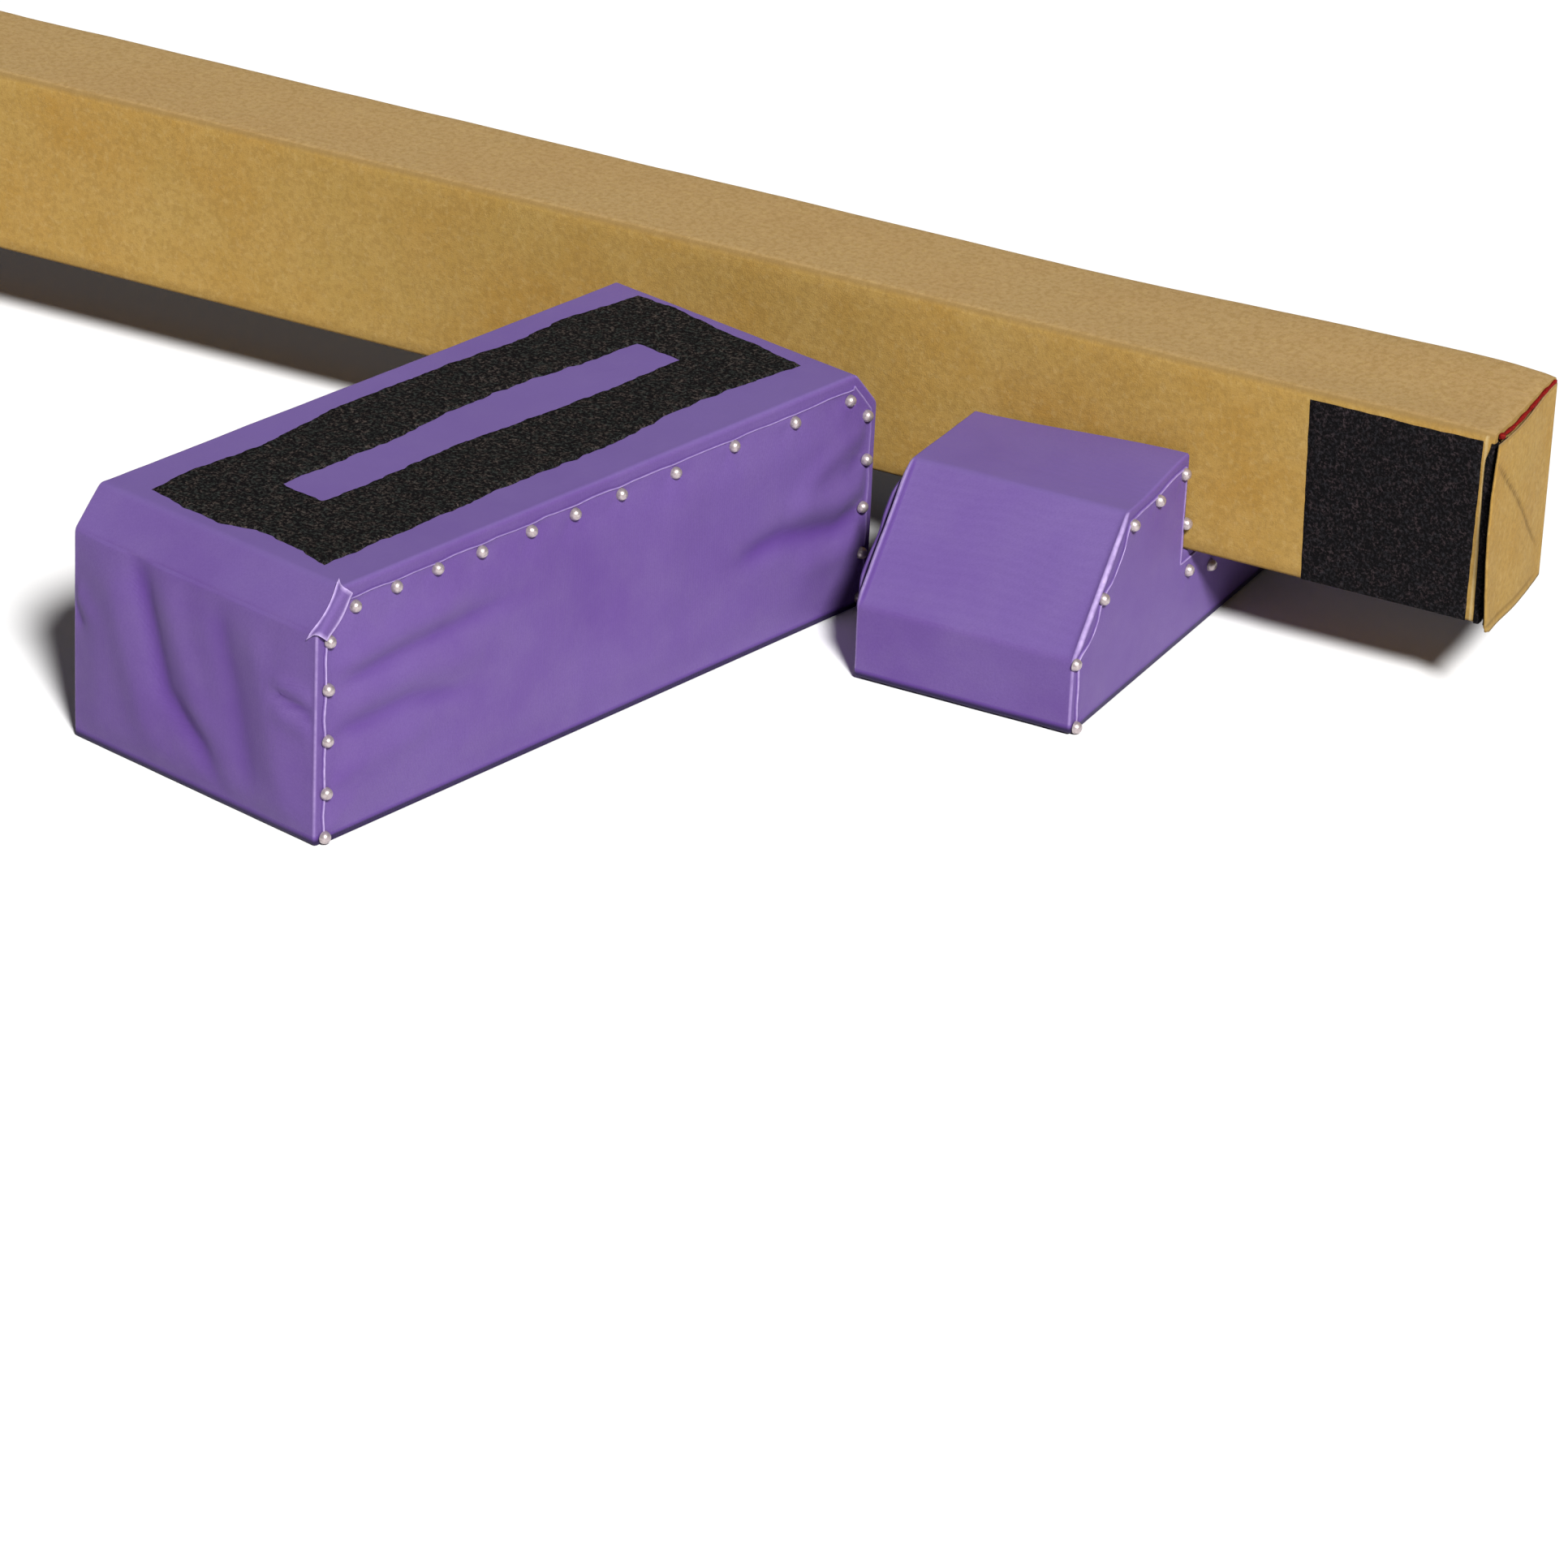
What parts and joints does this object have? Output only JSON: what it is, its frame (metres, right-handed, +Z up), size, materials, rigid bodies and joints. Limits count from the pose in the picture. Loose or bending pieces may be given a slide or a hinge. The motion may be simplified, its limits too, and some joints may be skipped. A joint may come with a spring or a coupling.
{
  "type": "balance beam",
  "caption": "Low padded practice balance beam in suede cloth, resting in upholstered saddle cradles, with loose upholstered riser blocks and hinged end flaps.",
  "frame": {"origin": "floor point under the middle of the right-hand cradle's underside, on the beam's middle plane", "axes": "+X along the beam towards its right end, +Y to the back of the beam, +Z up"},
  "size_m": [2.4514, 0.9457, 0.2301],
  "materials": {
    "timber": "planed softwood",
    "plywood": "sanded birch plywood",
    "foam": "closed-cell foam sheet",
    "suede": "napped synthetic suede",
    "loop_cloth": "napped black loop cloth",
    "hook_tape": "coarse black hook tape",
    "purple_cloth": "satin purple coated cloth with a fine weave",
    "nail_steel": "polished nickel-plated domed nails",
    "red_piping": "red cotton piping"
  },
  "bodies": {
    "right_cradle": {"right_cradle_base_board": "plywood", "right_cradle_front_block": "timber", "right_cradle_saddle_block": "timber", "right_cradle_back_block": "timber", "right_cradle_wrap": "purple_cloth", "right_cradle_side_covers": "purple_cloth", "right_cradle_nails": "nail_steel", "right_cradle_hook_pads": "hook_tape", "right_cradle_base_sheet": "loop_cloth"},
    "beam": {"beam_core": "timber", "beam_padding": "foam", "beam_cover": "suede", "right_front_loop_patch": "loop_cloth", "right_back_loop_patch": "loop_cloth", "right_end_loop_strip": "loop_cloth", "left_front_loop_patch": "loop_cloth", "left_back_loop_patch": "loop_cloth", "left_end_loop_strip": "loop_cloth"},
    "left_cradle": {"left_cradle_base_board": "plywood", "left_cradle_front_block": "timber", "left_cradle_saddle_block": "timber", "left_cradle_back_block": "timber", "left_cradle_wrap": "purple_cloth", "left_cradle_side_covers": "purple_cloth", "left_cradle_nails": "nail_steel", "left_cradle_hook_pads": "hook_tape", "left_cradle_base_sheet": "loop_cloth"},
    "right_riser": {"right_riser_base_board": "plywood", "right_riser_top_board": "plywood", "right_riser_end_boards": "plywood", "right_riser_corner_boards": "plywood", "right_riser_long_panels": "plywood", "right_riser_rib": "timber", "right_riser_wrap": "purple_cloth", "right_riser_side_covers": "purple_cloth", "right_riser_nails": "nail_steel", "right_riser_hook_ring": "hook_tape"},
    "left_riser": {"left_riser_base_board": "plywood", "left_riser_top_board": "plywood", "left_riser_end_boards": "plywood", "left_riser_corner_boards": "plywood", "left_riser_long_panels": "plywood", "left_riser_rib": "timber", "left_riser_wrap": "purple_cloth", "left_riser_side_covers": "purple_cloth", "left_riser_nails": "nail_steel", "left_riser_hook_ring": "hook_tape"},
    "right_flap": {"right_end_flap": "suede", "right_flap_hook_strip": "hook_tape", "right_flap_piping": "red_piping"},
    "left_flap": {"left_end_flap": "suede", "left_flap_hook_strip": "hook_tape", "left_flap_piping": "red_piping"}
  },
  "joints": [
    {"name": "beam_lift", "type": "slide", "parent": "right_cradle", "child": "beam", "axis": [0, 0, 1], "range_m": [0, 0.25]},
    {"name": "left_cradle_slide", "type": "slide", "parent": "right_cradle", "child": "left_cradle", "axis": [1, 0, 0], "range_m": [-0.236, 0.04]},
    {"name": "right_flap_hinge", "type": "hinge", "parent": "beam", "child": "right_flap", "pos_m": [0.32765, 0.059, 0.0777], "axis": [0, 0, 1], "range_deg": [0, 130]},
    {"name": "left_flap_hinge", "type": "hinge", "parent": "beam", "child": "left_flap", "pos_m": [-2.11105, 0.059, 0.0777], "axis": [0, 0, -1], "range_deg": [0, 130]},
    {"name": "right_riser_lift", "type": "slide", "parent": "right_cradle", "child": "right_riser", "axis": [0, 0, 1], "range_m": [0, 0.25]},
    {"name": "left_riser_lift", "type": "slide", "parent": "right_cradle", "child": "left_riser", "axis": [0, 0, 1], "range_m": [0, 0.25]}
  ]
}
